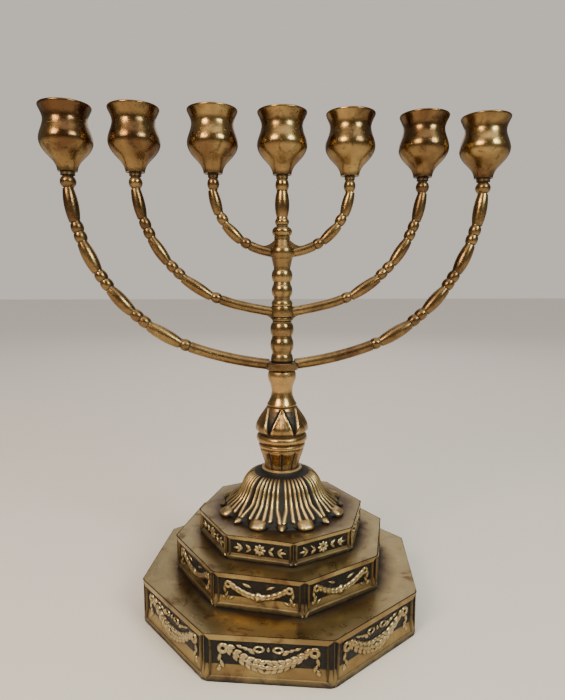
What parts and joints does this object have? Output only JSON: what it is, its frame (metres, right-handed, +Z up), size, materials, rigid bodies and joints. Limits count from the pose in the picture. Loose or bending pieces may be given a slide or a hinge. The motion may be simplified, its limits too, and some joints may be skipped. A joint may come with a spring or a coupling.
{
  "type": "menorah",
  "caption": "Branched brass lamp stand: paired curved branches with tulip candle cups on a beaded stem, over a leaf bell and stepped octagonal base.",
  "frame": {"origin": "middle of the underside of the lowest tier, on the axis of the stem", "axes": "+Z up along the stem, +X along the row of branches to the right-hand cups, +Y away from the viewer"},
  "size_m": [0.316, 0.195, 0.3458],
  "materials": {
    "tier_brass": "aged cast brass, brushed decks, blackened panels",
    "leafwork_brass": "aged cast brass, black in the hollows and bright on the ridges",
    "turned_brass": "aged turned brass, brown in the grooves",
    "branch_brass": "aged cast brass, brown in the grooves",
    "cup_brass": "polished brass gone brown, mottled and spotted",
    "fastener_steel": "dull zinc-plated steel"
  },
  "bodies": {
    "stand": {"base_tier_lower": "tier_brass", "base_tier_middle": "tier_brass", "base_tier_upper": "tier_brass", "leaf_bell": "leafwork_brass", "baluster": "leafwork_brass", "lower_bead_column": "turned_brass", "upper_bead_column": "turned_brass", "top_stem": "turned_brass", "tie_rod": "fastener_steel", "tie_rod_nut": "fastener_steel", "tie_rod_washer": "fastener_steel", "centre_cup": "cup_brass", "centre_cup_stud": "fastener_steel"},
    "outer_branches": {"outer_branch_pair": "branch_brass", "outer_cup_studs": "fastener_steel", "outer_left_cup": "cup_brass", "outer_right_cup": "cup_brass"},
    "middle_branches": {"middle_branch_pair": "branch_brass", "middle_cup_studs": "fastener_steel", "middle_left_cup": "cup_brass", "middle_right_cup": "cup_brass"},
    "inner_branches": {"inner_branch_pair": "branch_brass", "inner_cup_studs": "fastener_steel", "inner_left_cup": "cup_brass", "inner_right_cup": "cup_brass"}
  },
  "joints": [
    {"name": "outer_branches_turn", "type": "hinge", "parent": "stand", "child": "outer_branches", "pos_m": [0, 0, 0.1739], "axis": [0, 0, 1], "continuous": true},
    {"name": "middle_branches_turn", "type": "hinge", "parent": "stand", "child": "middle_branches", "pos_m": [0, 0, 0.2104], "axis": [0, 0, 1], "continuous": true},
    {"name": "inner_branches_turn", "type": "hinge", "parent": "stand", "child": "inner_branches", "pos_m": [0, 0, 0.252], "axis": [0, 0, 1], "continuous": true}
  ]
}
